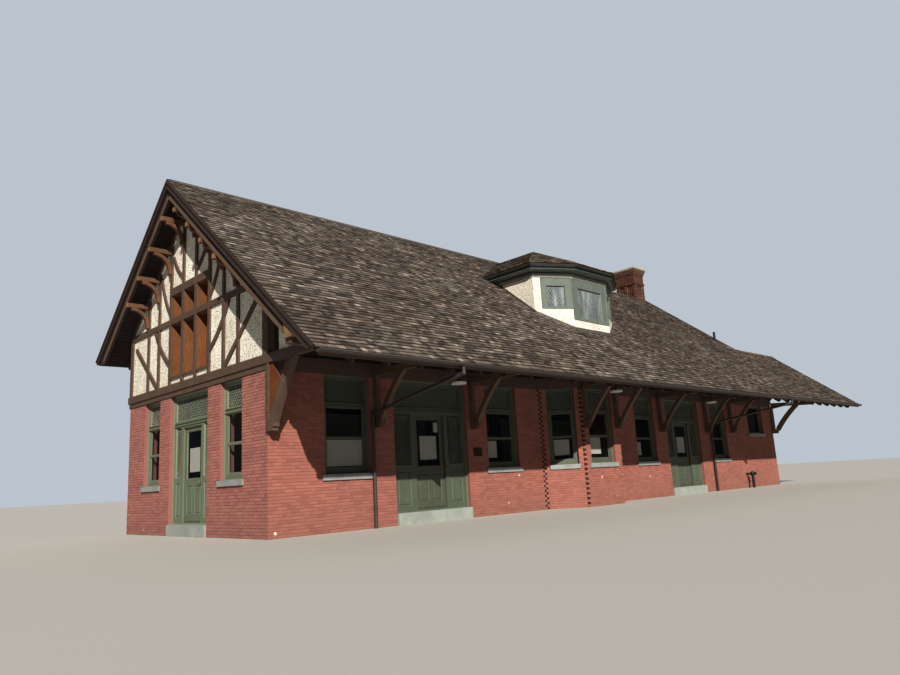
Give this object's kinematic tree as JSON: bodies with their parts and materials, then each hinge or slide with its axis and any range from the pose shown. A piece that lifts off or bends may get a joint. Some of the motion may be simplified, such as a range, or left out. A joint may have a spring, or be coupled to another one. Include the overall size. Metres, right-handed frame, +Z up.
{
  "type": "railway station building",
  "caption": "Low brick railway station with a half-timbered gable, shingled roof, deep bracketed eave, canted bay, dormer, chimney and hinged doors.",
  "frame": {"origin": "middle of the outline's box, on the ground", "axes": "+X along the front towards the low wing, +Y from the platform front back into the building, +Z up"},
  "size_m": [29.1245, 11.58, 10.1],
  "materials": {
    "front_brick": "matte painted brick",
    "gable_brick": "matte painted brick",
    "floor_concrete": "matte",
    "beam_timber": "matte paint",
    "stucco": "rough cast",
    "louvre_boards": "matte stain",
    "dark_timber": "matte paint",
    "shingles": "weathered",
    "ridge_metal": "matte",
    "gutter_metal": "satin paint",
    "dormer_green": "satin paint",
    "sage_paint": "satin paint",
    "door_paint": "satin paint",
    "window_glass": "clear",
    "chimney_brick": "matte brick",
    "chimney_cap_stone": "matte",
    "sill_stone": "matte",
    "step_stone": "matte",
    "lamp_white": "matte",
    "plaque_bronze": "dull",
    "black_iron": "satin paint"
  },
  "bodies": {
    "building": {"front_wall_left": "front_brick", "front_wall_mid_left": "front_brick", "bay_wall": "front_brick", "front_wall_mid_right": "front_brick", "front_wall_right": "front_brick", "back_wall": "front_brick", "end_walls": "front_brick", "gable_wall_near": "gable_brick", "gable_wall_far": "gable_brick", "floor_slab": "floor_concrete", "sill_beam_front": "beam_timber", "sill_beam_gable": "beam_timber", "sill_beam_rear": "beam_timber", "rear_timbers": "beam_timber", "gable_timbers": "beam_timber", "verge_brackets": "beam_timber", "corner_bracket": "beam_timber", "upper_wall_rear": "stucco", "gable_stucco": "stucco", "dormer_walls": "stucco", "gable_boards": "louvre_boards", "upper_wall_front": "dark_timber", "bargeboards": "dark_timber", "rafter_tails": "dark_timber", "eave_beam": "dark_timber", "eave_brackets": "dark_timber", "roof_front": "shingles", "roof_back": "shingles", "roof_hip": "shingles", "wing_roof_back": "shingles", "dormer_roof": "shingles", "ridge_caps": "ridge_metal", "gutters": "gutter_metal", "downpipes": "gutter_metal", "dormer_cornice": "dormer_green", "dormer_windows": "sage_paint", "front_windows": "sage_paint", "gable_windows": "sage_paint", "rear_windows": "sage_paint", "door_frames": "sage_paint", "dormer_glass": "window_glass", "front_glass": "window_glass", "gable_glass": "window_glass", "rear_glass": "window_glass", "chimney": "chimney_brick", "chimney_cap": "chimney_cap_stone", "window_sills": "sill_stone", "door_steps": "step_stone", "eave_lamps": "lamp_white", "wall_plaque": "plaque_bronze", "standpipe": "black_iron", "vent_pipe": "black_iron"},
    "left_door": {"left_door": "door_paint", "left_door_glass": "window_glass"},
    "right_door": {"right_door": "door_paint", "right_door_glass": "window_glass"},
    "gable_door": {"gable_door": "door_paint", "gable_door_glass": "window_glass"}
  },
  "joints": [
    {"name": "left_door_hinge", "type": "hinge", "parent": "building", "child": "left_door", "pos_m": [-9.82725, -2.651, 1.4], "axis": [0, 0, 1], "range_deg": [0, 90]},
    {"name": "right_door_hinge", "type": "hinge", "parent": "building", "child": "right_door", "pos_m": [2.86275, -2.651, 1.4], "axis": [0, 0, 1], "range_deg": [0, 90]},
    {"name": "gable_door_hinge", "type": "hinge", "parent": "building", "child": "gable_door", "pos_m": [-13.68325, 1.44, 1.4], "axis": [0, 0, 1], "range_deg": [0, 90]}
  ]
}
